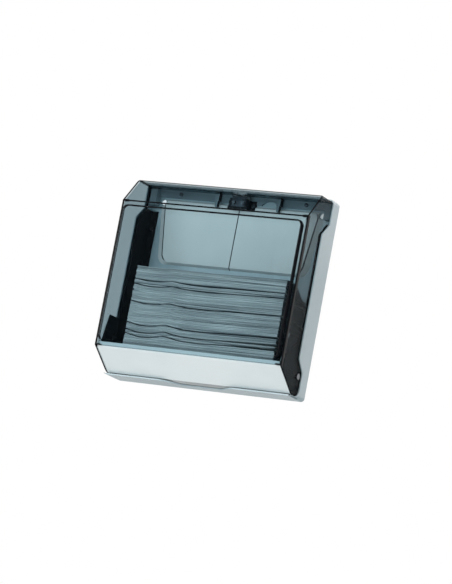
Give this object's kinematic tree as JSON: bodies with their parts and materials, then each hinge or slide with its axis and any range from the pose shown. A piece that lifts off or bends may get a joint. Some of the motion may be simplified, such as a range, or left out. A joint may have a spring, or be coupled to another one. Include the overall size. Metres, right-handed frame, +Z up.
{
  "type": "paper towel dispenser",
  "caption": "Wall-mounted folded paper towel dispenser: shallow light housing, bottom-hinged smoke-tinted box cover, slanted white lower front and a dispensing slot underneath.",
  "frame": {"origin": "centre of the four wall-screw holes, on the rear face of the housing, which lies on the wall", "axes": "+X to the right seen from the front, +Y into the wall, +Z up"},
  "size_m": [0.298, 0.094, 0.287],
  "materials": {
    "housing": "satin moulded plastic",
    "panel": "fine-textured moulded plastic",
    "dark": "dark moulded plastic",
    "rail": "dark grey moulded plastic",
    "smoke": "clear smoke-tinted polycarbonate",
    "apron": "white moulded plastic",
    "steel": "bright turned or stamped steel",
    "nylon": "natural nylon",
    "button": "light moulded plastic",
    "towel": "soft folded paper tissue"
  },
  "bodies": {
    "housing": {"back_housing": "housing", "rear_panel": "panel", "top_rail": "rail", "side_bracket_left": "dark", "side_bracket_right": "dark", "hinge_pin_left": "steel", "hinge_pin_right": "steel", "hinge_clip_left": "steel", "hinge_clip_right": "steel", "front_apron": "apron", "latch_body": "dark", "latch_spring": "steel", "bracket_screws": "steel", "rail_screws": "steel", "latch_screws": "steel", "apron_screws": "steel", "lead_towel": "towel", "towel_bundle_1": "towel", "towel_bundle_2": "towel", "towel_bundle_3": "towel", "towel_bundle_4": "towel", "towel_bundle_5": "towel", "towel_bundle_6": "towel", "towel_bundle_7": "towel"},
    "cover": {"smoke_cover": "smoke", "hinge_bush_left": "nylon", "hinge_bush_right": "nylon"},
    "button": {"latch_button": "button"}
  },
  "joints": [
    {"name": "cover_hinge", "type": "hinge", "parent": "housing", "child": "cover", "pos_m": [0, -0.031, -0.1135], "axis": [1, 0, 0], "range_deg": [0, 85], "deforming": ["latch_spring"]},
    {"name": "button_slide", "type": "slide", "parent": "housing", "child": "button", "axis": [0, 0, -1], "range_m": [0, 0.003], "stiffness_N_per_m": 800, "springref_m": -0.001, "deforming": ["latch_spring"]}
  ]
}
